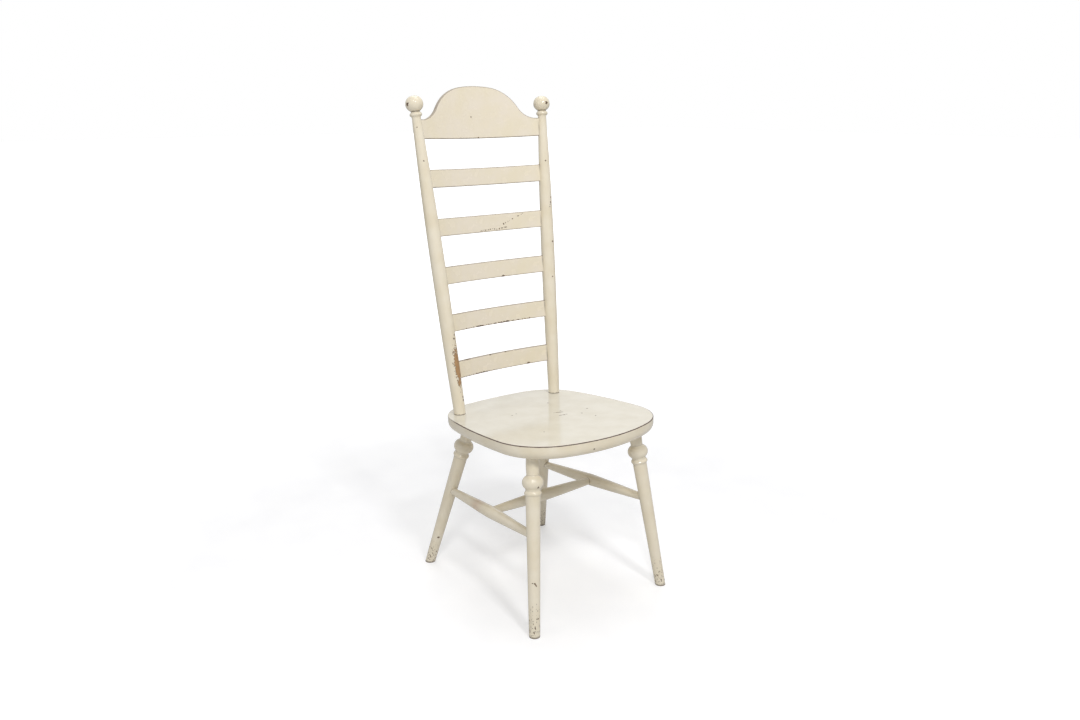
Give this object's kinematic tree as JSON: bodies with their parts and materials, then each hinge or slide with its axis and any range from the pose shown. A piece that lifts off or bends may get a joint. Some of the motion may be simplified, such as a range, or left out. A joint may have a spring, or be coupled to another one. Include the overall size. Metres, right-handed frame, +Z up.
{
  "type": "ladder-back chair",
  "caption": "Tall painted ladder-back side chair: arched crest, bent slats, ball finials, a shaped plank seat and turned, splayed legs joined by stretchers, its old paint chipped.",
  "frame": {"origin": "on the floor, under the middle of the whole chair's box", "axes": "+Z up, +X towards the sitter's left, and the chair faces -Y"},
  "size_m": [0.424, 0.536, 1.1894],
  "materials": {
    "paint": "old cream paint with a satin gloss, chipped and worn to bare wood at edges and feet"
  },
  "bodies": {
    "root": {"seat": "paint", "front_leg_right": "paint", "front_leg_left": "paint", "rear_leg_right": "paint", "rear_leg_left": "paint", "side_stretcher_right": "paint", "side_stretcher_left": "paint", "cross_stretcher": "paint", "back_post_right": "paint", "back_post_left": "paint", "slat_1": "paint", "slat_2": "paint", "slat_3": "paint", "slat_4": "paint", "slat_5": "paint", "crest_rail": "paint"}
  },
  "joints": []
}
